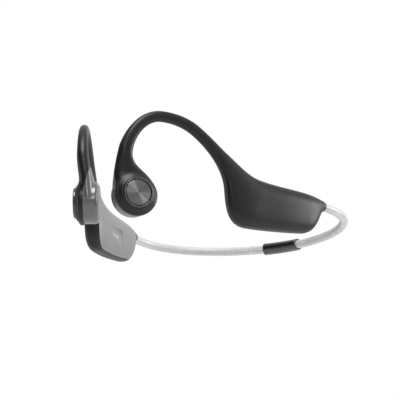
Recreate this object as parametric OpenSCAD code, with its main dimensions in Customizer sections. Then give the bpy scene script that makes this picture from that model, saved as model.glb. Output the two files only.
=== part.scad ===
// Bone conduction headphones: a silicone neckband with two mirrored units.
// Each unit is a pod behind the ear, an ear hook and a transducer head in front of the ear.
// A unit is laid out on an upright curved sheet: s runs forward from the band exit, z is up,
// and n is the distance outward from the sheet. The wearer faces -Y.

/* [Overall] */
// Distance between the two band exits
exit_span = 101; // [96:1:116]
// Distance from the band exits back to the middle of the band
band_depth = 42.5; // [34:0.5:52]

/* [Pod] */
// Length from the band exit to the start of the pod's front corner
pod_len = 43; // [38:1:52]
// Depth of the pod below the band exit
pod_drop = 14.8; // [12.5:0.1:17]
// Thickness of the pod from its inner to its outer face
pod_thick = 9.6; // [8.8:0.1:12]
// Distance inward from the pod's middle to the parting line of the cover
parting_in = 2.7; // [2.3:0.1:3.2]
// Wall of the pod casing
wall = 1.1; // [0.9:0.1:1.4]

/* [Ear hook] */
// Height of the hook's crown above the band exit
crown_rise = 31; // [26:0.5:37]
// Distance along the sheet from the pod's front corner to the crown
arch_len = 38; // [34:0.5:43]
// Height of the hook's rod at the crown
hook_h = 4.6; // [4:0.1:6]
// Thickness of the hook's rod at the crown
hook_t = 3.8; // [3.4:0.1:5]

/* [Transducer head] */
// Distance along the sheet from the crown forward to the head's axis
head_ahead = 10.5; // [8:0.5:14]
// Depth of the head's axis below the band exit
head_drop = 4.8; // [3:0.1:6]
// Width of the sloping brim round the bezel ring
head_brim = 2.8; // [2.4:0.1:3.6]
// Thickness of the whole head from the bezel to the skin pad
head_t = 10.7; // [9:0.1:13]
// Diameter of the metal cap
cap_d = 10.7; // [9:0.1:13]
// Travel of the cap when it is pressed
cap_travel = 0.3; // [0.2:0.05:0.4]

/* [Band] */
// Diameter of the silicone band
band_d = 3.7; // [3.4:0.1:4.4]
// How far the centre sleeve stands proud of the band
sleeve_wall = 0.75; // [0.6:0.05:1.1]
// Length of the centre sleeve
sleeve_len = 18; // [14:1:24]

/* [Fits] */
// Gap between pieces that are fixed to each other
fit_gap = 0.1; // [0.05:0.01:0.15]
// Gap round a piece that moves
slide_gap = 0.2; // [0.15:0.05:0.3]

/* [Hidden] */

// The sheet's direction, as the angle in from straight ahead
toe_exit = 12;
toe_pod = 19.5;
toe_front = 33;
knee_len = 10;

// Places along the sheet that follow from the sizes above
crown_reach = pod_len + arch_len;
head_reach = crown_reach + head_ahead;

// Steps round and along the lofted shapes
arc_steps = 16;
flat_steps = 4;
rib_step = 0.2;
pocket_steps = 12;
rod_steps = 8;

// Head stack, measured outward from the sheet
bezel_face = 4.0;
shell_rim = 1.7;
split_n = -0.1;
pad_face = bezel_face - head_t;
cap_r = cap_d / 2;
bezel_r = cap_r + 1.05;
head_r = bezel_r + head_brim;
drum_r = head_r - 0.5;
cavity_r = head_r - 1.4;
lip_r = cap_r + slide_gap;
skirt_r = lip_r + 0.25;
board_top = 0.7;
nub_top = 1.35;

// Height of the band exits, with the lower of the pod and the head on the ground
exit_height = max(pod_drop, head_drop + head_r);

// Wires and cables
wire_d = 0.9;
cable_d = 0.8;
duct_half = 1.15;
duct_thin = 0.65;
wire_up = 0.5;
cable_down = 0.62;

// Band ends
spout_z = 0.3;
band_in = 6;
plug_len = 2.4;
plug_r = band_d / 2 + 0.65;
plug_s = band_in + plug_len / 2 + fit_gap;
sleeve_d = band_d + 2 * sleeve_wall;

// --- the sheet -------------------------------------------------------------------------

// Chord of an arc of length l that turns from angle a to angle b
function chord(l, a, b) = let (h = (b - a) / 2) abs(h) < 0.001 ? l : l * sin(h) / (h * PI / 180);

// Forward direction and outward normal at a toe-in angle
function ahead(a) = [-sin(a), -cos(a)];
function outward(a) = [cos(a), -sin(a)];

// Toe-in angle at a distance along the sheet
function toe(s) =
    s < pod_len ? toe_exit + (toe_pod - toe_exit) * s / pod_len
    : s < pod_len + knee_len ? toe_pod + (toe_front - toe_pod) * (s - pod_len) / knee_len
    : toe_front;

// Plan position at a distance along the sheet
function arc_end(p, a, b, l) = p + chord(l, a, b) * ahead((a + b) / 2);

// The band exit lies so far rearward that the origin is below the middle of the headset
rim_lead = 0.65;
reach_front = head_r * cos(toe_front) + rim_lead
    - arc_end([0, 0], toe_exit, toe_pod, pod_len)[1]
    - arc_end([0, 0], toe_pod, toe_front, knee_len)[1]
    - (head_reach - pod_len - knee_len) * ahead(toe_front)[1];
reach_back = band_depth + sleeve_d / 2;
exit_y = (reach_front - reach_back) / 2;
exit_xy = [exit_span / 2, exit_y];
pod_end_xy = arc_end(exit_xy, toe_exit, toe_pod, pod_len);
knee_end_xy = arc_end(pod_end_xy, toe_pod, toe_front, knee_len);
function plan(s) =
    s < pod_len ? arc_end(exit_xy, toe_exit, toe(s), s)
    : s < pod_len + knee_len ? arc_end(pod_end_xy, toe_pod, toe(s), s - pod_len)
    : knee_end_xy + (s - pod_len - knee_len) * ahead(toe_front);

// Point in space at (s, z, n)
function spot(s, z, n) =
    let (p = plan(s) + n * outward(toe(s))) [p[0], p[1], z + exit_height];

// Local frame of the left unit: X outward, Y rearward, Z up
module on_sheet(s, z, n) {
    translate(spot(s, z, n)) rotate([0, 0, -toe(s)]) children();
}

// Frame of the head: Z outward along the head's axis
module on_head() {
    on_sheet(head_reach, -head_drop, 0) rotate([0, 90, 0]) children();
}

module other_side() {
    mirror([1, 0, 0]) children();
}

// --- the outline of a unit -------------------------------------------------------------

// Two rails run from the band spout over the pod and the hook down to the head.
// A point of the upper rail is [s, z, half thickness], one of the lower rail [s, z, middle n].
half_t = pod_thick / 2;
spout_half = band_d / 2 + 0.5;
spout_top = spout_z + spout_half - 0.15;
spout_low = spout_z - spout_half + 0.15;
front_s = pod_len + 9.3;
front_z = -pod_drop;
pod_top_z = 6.4;
root = [pod_len + 8, 14.8];
riser = [crown_reach - 16.5, crown_rise - 4.9];
brow = [head_reach + 7, crown_rise - 15.4];
crown_low = crown_rise - hook_h;
throat = [head_reach + 1.6, crown_rise - 19];
nose = head_reach + head_r;
nape = head_reach - head_r;
rod_t = hook_t / 2;
rod_n = 0.75;

upper_rail = [
    [[1, spout_top, spout_half], [4, 3.3, 3.0], [7, 3.9, half_t - 0.7], [10.5, 4.2, half_t - 0.3]],
    [[10.5, 4.2, half_t - 0.3], [20, 5.1, half_t + 0.15], [0.66 * pod_len, 4.8, half_t],
        [0.86 * pod_len, pod_top_z, half_t]],
    [[0.86 * pod_len, pod_top_z, half_t], [pod_len - 0.2, 7.7, half_t - 0.2],
        [root[0] - 4.4, root[1] - 3.4, half_t - 1.1], [root[0], root[1], half_t - 1.8]],
    [[root[0], root[1], half_t - 1.8], [root[0] + 4.4, root[1] + 3.4, half_t - 2.2],
        [riser[0] - 4.8, riser[1] - 3.6, rod_t + 0.3], [riser[0], riser[1], rod_t + 0.1]],
    [[riser[0], riser[1], rod_t + 0.1], [riser[0] + 4.4, riser[1] + 3.2, rod_t],
        [crown_reach - 5.8, crown_rise, rod_t], [crown_reach, crown_rise, rod_t]],
    [[crown_reach, crown_rise, rod_t], [crown_reach + 7.4, crown_rise, rod_t],
        [brow[0] - 3.4, brow[1] + 9.2, rod_t + 0.2], [brow[0], brow[1], rod_t + 0.6]],
    [[brow[0], brow[1], rod_t + 0.6], [brow[0] + 1.3, brow[1] - 5.8, rod_t + 0.9],
        [nose, 4, 3.2], [nose, -head_drop, 3.4]]
];

lower_rail = [
    [[1, spout_low, 0], [5, -3, 0], [4.8, front_z + 2.8, 0], [13, front_z + 1.8, 0]],
    [[13, front_z + 1.8, 0], [22, front_z + 0.8, 0], [0.76 * pod_len, front_z, 0],
        [pod_len - 1, front_z, 0]],
    [[pod_len - 1, front_z, 0], [pod_len + 7.2, front_z, 0], [front_s - 0.5, -9, 0.1],
        [front_s, -0.5, 0.4]],
    [[front_s, -0.5, 0.4], [front_s + 0.6, 8.3, 0.7], [riser[0] - 5, riser[1] - 9.7, rod_n],
        [riser[0] + 2.5, riser[1] - 4.1, rod_n]],
    [[riser[0] + 2.5, riser[1] - 4.1, rod_n], [riser[0] + 6.5, riser[1] - 1.2, rod_n],
        [crown_reach - 5, crown_low, rod_n], [crown_reach, crown_low, rod_n]],
    [[crown_reach, crown_low, rod_n], [crown_reach + 6, crown_low, rod_n],
        [throat[0] - 0.5, throat[1] + 7.5, 0.6], [throat[0], throat[1], 0.1]],
    [[throat[0], throat[1], 0.1], [throat[0], throat[1] - 7.5, -0.5],
        [nape, throat[1] - 5, -1.7], [nape, -head_drop, -2.5]]
];

// Stations where the rails pass from one stretch to the next
pod_open = 0.62;
pod_shut = 3.0;
cover_start = 0.4;
cover_end = 2.8;
crown_station = 5;
rails_end = 7;
duct_start = 2.75;
duct_end = 6.7;

function bezier(p, u) =
    pow(1 - u, 3) * p[0] + 3 * pow(1 - u, 2) * u * p[1] + 3 * (1 - u) * u * u * p[2]
    + pow(u, 3) * p[3];
function along(rail, t) =
    let (i = min(floor(t), len(rail) - 1)) bezier(rail[i], t - i);

// Signed power, for rounded-square sections
function spow(v, e) = sign(v) * pow(abs(v), e);

// Squareness of the section: a rounded square at the pod, an oval at the hook
function squareness(t) = t < 1 ? 2.1 + 0.6 * t : t < 2 ? 2.7 : t < 4 ? 2.7 - 0.2 * (t - 2) : 2.3;

// Point of station t at an angle round the section, drawn in from the outer skin by inset
function skin_point(t, a, inset) =
    let (
        up = along(upper_rail, t),
        low = along(lower_rail, t),
        half = [(up[0] - low[0]) / 2, (up[1] - low[1]) / 2],
        e = 2 / squareness(t),
        c = (1 - inset / norm(half)) * spow(cos(a), e)
    )
    spot((up[0] + low[0]) / 2 + c * half[0], (up[1] + low[1]) / 2 + c * half[1],
        low[2] + (up[2] - inset) * spow(sin(a), e));

// Whole ring at station t
function skin_ring(t, inset, steps) =
    [for (j = [0 : steps - 1]) skin_point(t, 360 * (j + 0.5) / steps, inset)];

// Angle at which the section of station t meets the sheet n = face, or a small flat past it
function face_angle(t, face) =
    let (ratio = (face - along(lower_rail, t)[2]) / along(upper_rail, t)[2])
    max(-80, asin(max(-1, spow(ratio, squareness(t) / 2))));

// The part of the ring on one side of the sheet n = face, closed along that sheet.
// side is 1 for the outward part and -1 for the inward part.
function cut_ring(t, face, side) =
    let (
        edge = face_angle(t, face),
        first = side > 0 ? edge : 180 - edge,
        last = side > 0 ? 180 - edge : 360 + edge,
        arc = [for (j = [0 : arc_steps]) skin_point(t, first + (last - first) * j / arc_steps, 0)]
    )
    concat(arc, [for (j = [1 : flat_steps])
        arc[arc_steps] + (arc[0] - arc[arc_steps]) * j / (flat_steps + 1)]);

// Ring round a wire that follows the hook's middle, shifted along the section by up
function wire_ring(t, shift, half_h, half_n, steps) =
    let (
        up = along(upper_rail, t),
        low = along(lower_rail, t),
        mid = [(up[0] + low[0]) / 2, (up[1] + low[1]) / 2],
        dir = [up[0] - low[0], up[1] - low[1]] / norm([up[0] - low[0], up[1] - low[1]])
    )
    [for (j = [0 : steps - 1])
        let (a = 360 * (j + 0.5) / steps, c = shift + half_h * cos(a))
        spot(mid[0] + c * dir[0], mid[1] + c * dir[1], duct_n(t) + half_n * sin(a))];

// Middle of the duct across the sheet
function duct_n(t) = t < 5 ? 0.6 : 0.6 + 0.15 * (t - 5);

// Middle of a ring
function ring_middle(ring) = [for (k = [0 : 2]) mean([for (p = ring) p[k]])];
function mean(v) = v * [for (x = v) 1] / len(v);

// Solid through a list of rings that all have the same number of points
module loft(rings) {
    m = len(rings[0]);
    n = len(rings);
    points = [for (r = rings) each r, ring_middle(rings[0]), ring_middle(rings[n - 1])];
    sides = [for (i = [0 : n - 2], j = [0 : m - 1])
        let (a = i * m + j, b = i * m + (j + 1) % m) each [[a, b, b + m], [a, b + m, a + m]]];
    first_cap = [for (j = [0 : m - 1]) [n * m, (j + 1) % m, j]];
    last_cap = [for (j = [0 : m - 1]) (n - 1) * m * [1, 1, 0] + [j, (j + 1) % m, n * m + 1]];
    polyhedron(points, concat(sides, first_cap, last_cap), convexity = 6);
}

function stations(a, b, step) =
    let (n = ceil((b - a) / step - 0.001)) [for (i = [0 : n]) a + (b - a) * i / n];

// Pocket inside the casing
module pocket(a, b, inset) {
    loft([for (t = stations(a, b, rib_step)) skin_ring(t, inset, pocket_steps)]);
}

module hook_rod(a, b, shift, half_h, half_n, steps = rod_steps) {
    loft([for (t = stations(a, b, rib_step)) wire_ring(t, shift, half_h, half_n, steps)]);
}

// --- casing ----------------------------------------------------------------------------

// Domed face of the head, with a round rim
module head_dome() {
    rim = 0.7;
    rotate_extrude($fn = 64)
        polygon([
            [0, split_n],
            [head_r - 0.25, split_n],
            [head_r, split_n + 0.3],
            [head_r, shell_rim - rim],
            for (a = [15 : 15 : 75])
                [head_r - rim + rim * cos(a), shell_rim - rim + rim * sin(a)],
            [head_r - rim - 0.3, shell_rim + 0.12],
            [bezel_r + 0.35, bezel_face - 0.9],
            [0, bezel_face - 0.9]
        ]);
}

// Room in the head for the drum, its spigot, the bezel ring and the switch board
module head_room() {
    translate([0, 0, -20]) cylinder(r = drum_r + fit_gap, h = 20 + split_n + 0.05, $fn = 64);
    translate([0, 0, -2]) cylinder(r = cavity_r, h = 3.1, $fn = 64);
    translate([0, 0, -3]) cylinder(r = bezel_r + fit_gap, h = 12, $fn = 64);
}

// Passage for the band through the spout into the pod
module band_passage() {
    on_sheet(0, spout_z, 0) translate([0, 4, 0]) rotate([90, 0, 0])
        cylinder(d = band_d + 2 * fit_gap, h = band_in + 7, $fn = 32);
}

// Seat of the band plug, behind the passage
module plug_seat() {
    on_sheet(plug_s, spout_z, 0) rotate([90, 0, 0])
        cylinder(r = plug_r + fit_gap, h = plug_len + 2 * fit_gap, center = true, $fn = 48);
}

// Everything on the skin side of the head's parting, which is level round the drum and then
// slopes inward up the root of the hook
neck_foot = 3.8;
neck_tip = 15;
neck_slope = 0.29;
module skin_side(edge_n, floor_z) {
    on_sheet(head_reach, -head_drop, 0) rotate([90, 0, 0])
        linear_extrude(height = 3 * head_r, center = true) polygon([
            [-20, floor_z],
            [edge_n, floor_z],
            [edge_n, neck_foot],
            [edge_n - neck_slope * (neck_tip - neck_foot), neck_tip],
            [-20, neck_tip]
        ]);
}

module outer_shell() {
    color("#3b3c3e")
    difference() {
        union() {
            loft([for (t = stations(0, rails_end, rib_step))
                cut_ring(t, t < crown_station ? -parting_in : -100, 1)]);
            on_head() head_dome();
        }
        skin_side(split_n - 0.03, -2 * head_r);
        pocket(pod_open, pod_shut, wall);
        hook_rod(duct_start, duct_end, 0, duct_half, duct_thin);
        band_passage();
        plug_seat();
        on_head() head_room();
    }
}

module cover_skin() {
    loft([for (t = stations(cover_start, cover_end, rib_step))
        cut_ring(t, -parting_in - fit_gap, -1)]);
}

// Inner half of the pod casing, hollow towards the pocket
module hollow_cover() {
    color("#4a4b4d")
    difference() {
        cover_skin();
        pocket(cover_start + 0.4, cover_end - 0.3, wall + 0.4);
        plug_seat();
    }
}

// Wedge-shaped dock recess: a step at the top and the rear that runs out forward and down
dock_s = pod_len - 19.5;
dock_z = -1.7;
dock_deep = 0.9;
dock_pitch = 2.2;
dock_pins = 4;
pin_s = pod_len - 13.5;
pin_z = -6;

module dock_recess() {
    on_sheet(dock_s, dock_z, -half_t)
        rotate([0, 4.5, -3.9]) translate([-5, -15.5, -14]) cube([5 + dock_deep, 15.5, 14]);
}

// --- head pieces -----------------------------------------------------------------------

// Turned ring or disc from a half profile of [radius, n] points
module turned(profile) {
    rotate_extrude($fn = 72) polygon(profile);
}

// Neck of the drum, which runs up the inner side of the hook's root
neck_start = 5.8;
module drum_neck() {
    difference() {
        intersection() {
            loft([for (t = stations(neck_start, rails_end, rib_step)) cut_ring(t, -100, 1)]);
            skin_side(split_n - fit_gap - 0.03, 0.5);
        }
        on_head() translate([0, 0, -20]) cylinder(r = drum_r - 0.4, h = 21, $fn = 64);
    }
}

module head_drum() {
    color("#8b8c8e") {
        drum_neck();
        drum_cup();
    }
}

module drum_cup() {
    on_head() turned([
        [cavity_r - 0.9, split_n + 0.9],
        [cavity_r - fit_gap, split_n + 0.9],
        [cavity_r - fit_gap, split_n - fit_gap],
        [drum_r, split_n - fit_gap],
        [drum_r, pad_face + 1.3],
        [drum_r - 0.25, pad_face + 0.85],
        [drum_r - 0.75, pad_face + 0.55],
        [drum_r - 1.2, pad_face + 0.5],
        [drum_r - 1.2, pad_face + 0.8],
        [0, pad_face + 0.8],
        [0, pad_face + 1.4],
        [drum_r - 0.9, pad_face + 1.4],
        [drum_r - 0.9, split_n - 0.8],
        [cavity_r - 0.9, split_n - 0.8]
    ]);
}

module skin_pad() {
    color("#6d6e70")
    on_head() turned([
        [0, pad_face + 0.75],
        [drum_r - 1.3, pad_face + 0.75],
        [drum_r - 1.3, pad_face + 0.3],
        [drum_r - 1.6, pad_face],
        [0, pad_face]
    ]);
}

module bezel_ring() {
    color("#1c1c1e")
    on_head() turned([
        [lip_r, bezel_face - 0.25],
        [lip_r + 0.2, bezel_face],
        [bezel_r - 0.3, bezel_face],
        [bezel_r, bezel_face - 0.3],
        [bezel_r, 1.0],
        [skirt_r + slide_gap, 1.0],
        [skirt_r + slide_gap, bezel_face - 1.1],
        [lip_r, bezel_face - 1.1]
    ]);
}

module metal_cap() {
    color("#b9b9b7")
    on_head() turned([
        [0, bezel_face - 0.35],
        [cap_r - 0.3, bezel_face - 0.1],
        [cap_r, bezel_face - 0.35],
        [cap_r, bezel_face - 1.1 - slide_gap],
        [skirt_r, bezel_face - 1.1 - slide_gap],
        [skirt_r, bezel_face - 1.6],
        [1.0, bezel_face - 1.6],
        [1.0, nub_top + cap_travel + 0.05],
        [0, nub_top + cap_travel + 0.05]
    ]);
}

module switch_board() {
    color("#1f5f3a")
    on_head() {
        translate([0, 0, 0.1]) cylinder(r = cavity_r - 1.1, h = board_top - 0.1, $fn = 48);
        translate([0, 0, board_top - 0.05]) cylinder(r = 1.9, h = 0.5, $fn = 32);
        translate([0, 0, board_top + 0.4]) cylinder(r = 0.7, h = nub_top - board_top - 0.4, $fn = 24);
    }
}

// Transducer stack, between the spring plate and the top of the yoke
yoke_r = drum_r - 2.4;
gap_in = yoke_r - 1.7;
coil_in = yoke_r - 1.5;
coil_out = yoke_r - 1.0;
yoke_top = -0.9;
plate_top = pad_face + 1.7;
stack = yoke_top - plate_top;
magnet_top = yoke_top - 0.24 * stack;
magnet_t = 0.34 * stack;
pole_t = 0.17 * stack;

module magnet_yoke() {
    color("#9a9ca0")
    on_head() turned([
        [0, yoke_top],
        [yoke_r, yoke_top],
        [yoke_r, plate_top + 0.2 * stack],
        [yoke_r - 0.7, plate_top + 0.2 * stack],
        [yoke_r - 0.7, magnet_top],
        [0, magnet_top]
    ]);
}

module magnet() {
    color("#c8c9cc")
    on_head() translate([0, 0, magnet_top - magnet_t])
        cylinder(r = gap_in - 0.2, h = magnet_t, $fn = 48);
}

module pole_plate() {
    color("#8f9196")
    on_head() translate([0, 0, magnet_top - magnet_t - pole_t])
        cylinder(r = gap_in, h = pole_t, $fn = 48);
}

module voice_coil() {
    color("#b66a32")
    on_head() turned([
        [coil_in, plate_top + 0.08 * stack],
        [coil_out, plate_top + 0.08 * stack],
        [coil_out, plate_top + 0.58 * stack],
        [coil_in, plate_top + 0.58 * stack]
    ]);
}

// Spring plate with three curved slots
module spring_plate() {
    color("#c9cbd0")
    on_head() difference() {
        translate([0, 0, plate_top - 0.25]) cylinder(r = drum_r - 1.0, h = 0.25, $fn = 64);
        for (i = [0 : 2])
            rotate([0, 0, 120 * i]) rotate_extrude(angle = 85, $fn = 64)
                translate([drum_r - 3, plate_top - 0.4]) square([0.6, 0.6]);
    }
}

module microphone() {
    color("#d0b26a")
    on_head() translate([0, drum_r - 4.1, -0.3]) cube([2.6, 1.8, 0.75], center = true);
}

// --- pod pieces ------------------------------------------------------------------------

module band_plug() {
    color("#55565a")
    on_sheet(plug_s, spout_z, 0) rotate([90, 0, 0])
        difference() {
            cylinder(r = plug_r, h = plug_len, center = true, $fn = 48);
            translate([0, 0, -plug_len]) cylinder(r = 1.3, h = 2 * plug_len, $fn = 32);
        }
}

anchor_rear_s = 13.2;
anchor_front_t = duct_start - 0.06;
anchor_rear_w = pod_thick - 5.6;
anchor_front_w = pod_thick - 7;

// Blocks in the pod that hold the ends of the band wire and of the hook wire
module wire_anchors() {
    front = (along(upper_rail, anchor_front_t) + along(lower_rail, anchor_front_t)) / 2;
    color("#a7a9ad") {
        on_sheet(anchor_rear_s, spout_z + wire_up, 0) difference() {
            cube([anchor_rear_w, 3.4, 3], center = true);
            translate([0, 2, 0]) rotate([90, 0, 0])
                cylinder(d = wire_d + 2 * fit_gap, h = 2.6, $fn = 24);
        }
        on_sheet(front[0], front[1], duct_n(0))
            cube([anchor_front_w, 3.4, 3.4], center = true);
    }
}

// Room for the battery, or for the main board, between the rear anchor and the pod's front
bay_rear = anchor_rear_s + 3;
bay_front = pod_len - 5.4;
bay_len = bay_front - bay_rear;
bay_s = (bay_rear + bay_front) / 2;
bay_z = -pod_drop / 2 + 2.4;
bay_h = pod_drop - 2 * wall - 3;
battery_t = pod_thick - 2 * wall - 3.2;
battery_n = 0.5;
board_t = 0.8;

module battery() {
    color("#2f4f86")
    on_sheet(bay_s, bay_z, battery_n) cube([battery_t, bay_len, bay_h], center = true);
}

module battery_board() {
    color("#1f5f3a")
    on_sheet(bay_s, bay_z, battery_n - battery_t / 2 - board_t / 2 - 0.2)
        cube([board_t, 12, bay_h - 1], center = true);
}

module main_board() {
    color("#1f5f3a")
    on_sheet(bay_s, bay_z, 0) {
        cube([board_t, bay_len, bay_h], center = true);
        translate([0.9, -5, 1]) cube([1.2, 6, 6], center = true);
        translate([0.8, 5, -2]) cube([1.0, 5, 5], center = true);
        translate([-0.8, 3, 3]) cube([1.0, 7, 3], center = true);
    }
}

module dock_contacts() {
    color("#e2e2e4")
    for (i = [0 : dock_pins - 1])
        on_sheet(pin_s + dock_pitch * i, pin_z + 0.2 * i, -half_t + 0.82) rotate([0, 90, 0])
            cylinder(d = 0.8, h = 1.6, center = true, $fn = 24);
}

module dock_magnets() {
    color("#c8c9cc")
    for (end = [-1, 1])
        on_sheet(pin_s + 1.5 * dock_pitch + 5.6 * end, pin_z, -half_t + 2.2)
            rotate([0, 90, 0])
            cylinder(d = 2.4, h = 1.2, center = true, $fn = 32);
}

// --- ear hook, band and sleeve ---------------------------------------------------------

module hook_wire() {
    color("#b9bcc2")
    hook_rod(duct_start, duct_end - 0.2, wire_up, wire_d / 2, wire_d / 2);
}

module hook_cable() {
    color("#9b2f2a")
    hook_rod(duct_start + 0.1, duct_end - 0.2, -cable_down, cable_d / 2, cable_d / 2);
}

// Half of the band as one curve from the exit to the middle, then a short straight inlet
band_sag = 2.8;
band_curve = [
    [exit_span / 2, exit_y, exit_height + spout_z],
    [exit_span / 2 + 5.9, exit_y + 0.652 * band_depth, exit_height - 1.8],
    [exit_span / 2 - 28.5, exit_y + band_depth, exit_height - band_sag - 0.2],
    [0, exit_y + band_depth, exit_height - band_sag]
];
function band_at(u) =
    u < 0 ? let (p = plan(-u)) [p[0], p[1], exit_height + spout_z] : bezier(band_curve, u);
function band_dir(u) =
    let (a = band_at(u - 0.01), b = band_at(u + 0.01)) (b - a) / norm(b - a);

// Ring round the band, with across pointing out of the band's loop and level
function band_ring(u, shift, half_a, half_z, steps) =
    let (
        d = u < 0 ? -concat(ahead(toe(-u)), 0) : band_dir(u),
        across = [d[1], -d[0], 0] / norm([d[1], -d[0]]),
        p = band_at(u) + shift * [0, 0, 1]
    )
    [for (j = [0 : steps - 1])
        let (a = 360 * (j + 0.5) / steps)
        p + half_a * cos(a) * across + half_z * sin(a) * [0, 0, 1]];

function band_stations(inlet, far) =
    concat([for (s = [inlet : -2 : 1]) -s], [for (u = [0 : 0.04 : far]) u], [far]);

module band_rod(inlet, shift, half_a, half_z, steps, far) {
    loft([for (u = band_stations(inlet, far)) band_ring(u, shift, half_a, half_z, steps)]);
}

band_far = 0.95;
wire_far = 0.994;

module band() {
    color("#dcdcda")
    difference() {
        band_rod(band_in, 0, band_d / 2, band_d / 2, 12, band_far);
        band_rod(band_in + 2, 0, duct_thin, duct_half, 8, band_far + 0.01);
    }
}

module band_wire() {
    color("#b9bcc2")
    band_rod(anchor_rear_s - 0.4, wire_up, wire_d / 2, wire_d / 2, rod_steps, wire_far);
}

module band_cable() {
    color("#9b2f2a")
    band_rod(band_in + 4, -cable_down, cable_d / 2, cable_d / 2, rod_steps, wire_far);
}

// Radius of the band's curve at its middle, which the sleeve follows
sleeve_curve = 1.5 * pow(band_curve[2][0], 2) / (band_curve[3][1] - band_curve[1][1]);

module centre_sleeve() {
    half_a = sleeve_len / 2 / sleeve_curve * 180 / PI;
    color("#161617")
    translate([0, exit_y + band_depth - sleeve_curve, exit_height - band_sag])
        rotate([0, 0, 90 - half_a]) rotate_extrude(angle = 2 * half_a, $fn = 180)
            translate([sleeve_curve, 0]) difference() {
                circle(d = sleeve_d, $fn = 48);
                circle(d = band_d + 0.6, $fn = 48);
            }
}

module wire_crimp() {
    color("#a7a9ad")
    translate([0, exit_y + band_depth, exit_height - band_sag + wire_up])
        rotate([0, 90, 0]) difference() {
            cylinder(d = wire_d + 0.54, h = 3.6, center = true, $fn = 32);
            cylinder(d = wire_d + 0.14, h = 6, center = true, $fn = 32);
        }
}

// --- the two sides ---------------------------------------------------------------------

module right_pod_cover() {
    difference() {
        hollow_cover();
        dock_recess();
        for (i = [0 : dock_pins - 1])
            on_sheet(pin_s + dock_pitch * i, pin_z + 0.2 * i, -half_t) rotate([0, 90, 0])
                cylinder(d = 1.0, h = 5, center = true, $fn = 24);
    }
}

outer_shell();  // left_outer_shell
hollow_cover();  // left_pod_cover
head_drum();  // left_head_drum
skin_pad();  // left_skin_pad
bezel_ring();  // left_bezel_ring
metal_cap();  // left_metal_cap
switch_board();  // left_switch_board
magnet_yoke();  // left_magnet_yoke
magnet();  // left_magnet
pole_plate();  // left_pole_plate
voice_coil();  // left_voice_coil
spring_plate();  // left_spring_plate
hook_wire();  // left_hook_wire
hook_cable();  // left_hook_cable
band();  // left_band
band_wire();  // left_band_wire
band_cable();  // left_band_cable
band_plug();  // left_band_plug
wire_anchors();  // left_wire_anchors
microphone();  // left_microphone
other_side() outer_shell();  // right_outer_shell
other_side() right_pod_cover();
other_side() head_drum();  // right_head_drum
other_side() skin_pad();  // right_skin_pad
other_side() bezel_ring();  // right_bezel_ring
other_side() metal_cap();  // right_metal_cap
other_side() switch_board();  // right_switch_board
other_side() magnet_yoke();  // right_magnet_yoke
other_side() magnet();  // right_magnet
other_side() pole_plate();  // right_pole_plate
other_side() voice_coil();  // right_voice_coil
other_side() spring_plate();  // right_spring_plate
other_side() hook_wire();  // right_hook_wire
other_side() hook_cable();  // right_hook_cable
other_side() band();  // right_band
other_side() band_wire();  // right_band_wire
other_side() band_cable();  // right_band_cable
other_side() band_plug();  // right_band_plug
other_side() wire_anchors();  // right_wire_anchors
other_side() microphone();  // right_microphone
battery();
battery_board();
other_side() main_board();
other_side() dock_contacts();
other_side() dock_magnets();
centre_sleeve();
wire_crimp();
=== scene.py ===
"""Looks of the bone conduction headphones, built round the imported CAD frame."""

import math

import bmesh
import bpy
import numpy as np
from mathutils import Matrix, Vector


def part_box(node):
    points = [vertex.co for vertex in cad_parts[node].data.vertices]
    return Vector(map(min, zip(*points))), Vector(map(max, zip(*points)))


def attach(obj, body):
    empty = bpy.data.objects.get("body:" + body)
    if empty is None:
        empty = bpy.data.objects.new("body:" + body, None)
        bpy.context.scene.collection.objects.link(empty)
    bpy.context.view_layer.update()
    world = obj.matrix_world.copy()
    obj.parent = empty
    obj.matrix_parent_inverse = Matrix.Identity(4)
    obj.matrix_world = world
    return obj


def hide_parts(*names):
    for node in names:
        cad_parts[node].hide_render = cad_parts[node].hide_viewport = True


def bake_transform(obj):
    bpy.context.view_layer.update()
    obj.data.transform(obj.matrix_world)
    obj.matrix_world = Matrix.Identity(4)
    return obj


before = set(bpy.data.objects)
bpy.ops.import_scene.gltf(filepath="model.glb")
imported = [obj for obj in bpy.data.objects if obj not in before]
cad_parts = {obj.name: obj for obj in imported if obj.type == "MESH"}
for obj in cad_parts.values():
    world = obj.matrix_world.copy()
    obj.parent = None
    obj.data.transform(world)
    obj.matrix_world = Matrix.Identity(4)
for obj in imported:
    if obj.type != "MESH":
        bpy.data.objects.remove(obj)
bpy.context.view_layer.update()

MM = 0.001
SIDES = ("left", "right")

# --- sizes of the part, in millimetres ----------------------------------------------------

EXIT_SPAN, BAND_DEPTH, EXIT_HEIGHT = 101.0, 42.5, 14.8
POD_LEN, POD_DROP, POD_THICK = 43.0, 14.8, 9.6
PARTING_IN, WALL = 2.7, 1.1
CROWN_RISE, CROWN_REACH, HOOK_H, HOOK_T = 31.0, 81.0, 4.6, 3.8
HEAD_REACH, HEAD_DROP, HEAD_D, HEAD_T = 91.5, 4.8, 18.4, 10.7
CAP_D, CAP_TRAVEL = 10.7, 0.3
BAND_D, SLEEVE_D, SLEEVE_LEN = 3.7, 5.2, 18.0
FIT_GAP, SLIDE_GAP = 0.1, 0.2
TOE_EXIT, TOE_POD, TOE_FRONT, KNEE_LEN = 12.0, 19.5, 33.0, 10.0
EXIT_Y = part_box("centre_sleeve")[1][1] / MM - BAND_DEPTH - SLEEVE_D / 2
BEZEL_FACE, SHELL_RIM, SPLIT_N = 4.0, 1.7, -0.1
PAD_FACE = BEZEL_FACE - HEAD_T
HEAD_R = HEAD_D / 2
DRUM_R = HEAD_R - 0.5
CAP_R = CAP_D / 2
BEZEL_R = CAP_R + 1.05
CAVITY_R = HEAD_R - 1.4
LIP_R = CAP_R + SLIDE_GAP
SKIRT_R = LIP_R + 0.25
NUB_TOP = 1.35
WIRE_D, CABLE_D = 0.9, 0.8
WIRE_UP, CABLE_DOWN = 0.5, 0.62
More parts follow.
